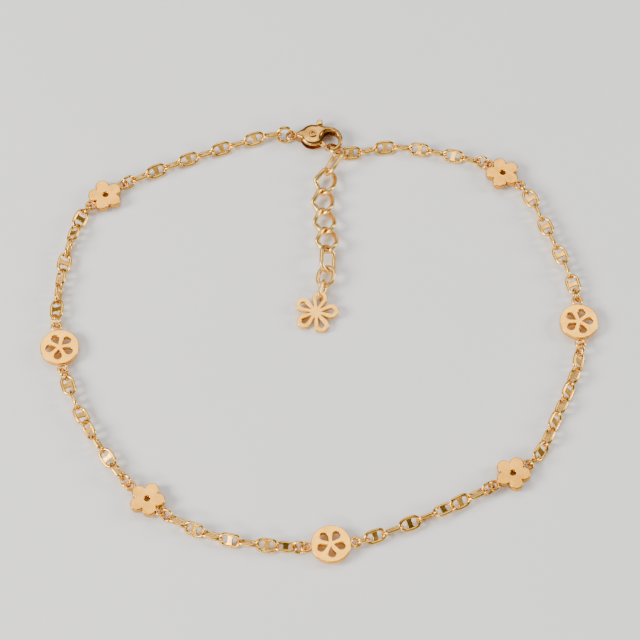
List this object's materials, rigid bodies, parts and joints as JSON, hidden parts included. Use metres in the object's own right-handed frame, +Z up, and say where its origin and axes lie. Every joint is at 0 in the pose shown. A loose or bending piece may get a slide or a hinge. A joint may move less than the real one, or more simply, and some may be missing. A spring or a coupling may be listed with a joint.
{
  "type": "station bracelet",
  "caption": "Fine gold station bracelet: an anchor-link chain with pierced round discs and solid blossoms, a lobster claw clasp, and an extender with an openwork flower drop.",
  "frame": {"origin": "centre of the bounding box in the plan, on the surface that the bracelet lies on", "axes": "+Z up from the surface; +Y from the disc at the front towards the clasp; +X to the right of that, along the longest extent"},
  "size_m": [0.0662, 0.0594, 0.0025],
  "materials": {
    "chain_gold": "polished",
    "clasp_gold": "polished",
    "drop_gold": "polished",
    "extender_gold": "polished",
    "ring_gold": "polished",
    "station_gold": "polished"
  },
  "bodies": {
    "bracelet": {"blossom_1": "station_gold", "blossom_2": "station_gold", "blossom_3": "station_gold", "blossom_4": "station_gold", "chain_1": "chain_gold", "chain_2": "chain_gold", "chain_3": "chain_gold", "chain_4": "chain_gold", "chain_5": "chain_gold", "chain_6": "chain_gold", "chain_7": "chain_gold", "chain_8": "chain_gold", "clasp_body": "clasp_gold", "clasp_ring": "ring_gold", "disc_1": "station_gold", "disc_2": "station_gold", "disc_3": "station_gold", "drop_ring": "extender_gold", "end_ring": "extender_gold", "extender_link_1": "extender_gold", "extender_link_2": "extender_gold", "extender_link_3": "extender_gold", "extender_link_4": "extender_gold", "extender_link_5": "extender_gold", "extender_link_6": "extender_gold", "flower_drop": "drop_gold", "hook_ring": "ring_gold", "jump_ring_1": "ring_gold", "jump_ring_10": "ring_gold", "jump_ring_11": "ring_gold", "jump_ring_12": "ring_gold", "jump_ring_13": "ring_gold", "jump_ring_14": "ring_gold", "jump_ring_2": "ring_gold", "jump_ring_3": "ring_gold", "jump_ring_4": "ring_gold", "jump_ring_5": "ring_gold", "jump_ring_6": "ring_gold", "jump_ring_7": "ring_gold", "jump_ring_8": "ring_gold", "jump_ring_9": "ring_gold"},
    "lever": {"clasp_lever": "clasp_gold"}
  },
  "joints": [
    {"name": "lever_pivot", "type": "hinge", "parent": "bracelet", "child": "lever", "pos_m": [-0.00087, 0.02734, 0.0009], "axis": [0, 0, 1], "range_deg": [0, 22], "stiffness_Nm_per_rad": 0.001, "springref_deg": -17.19}
  ]
}
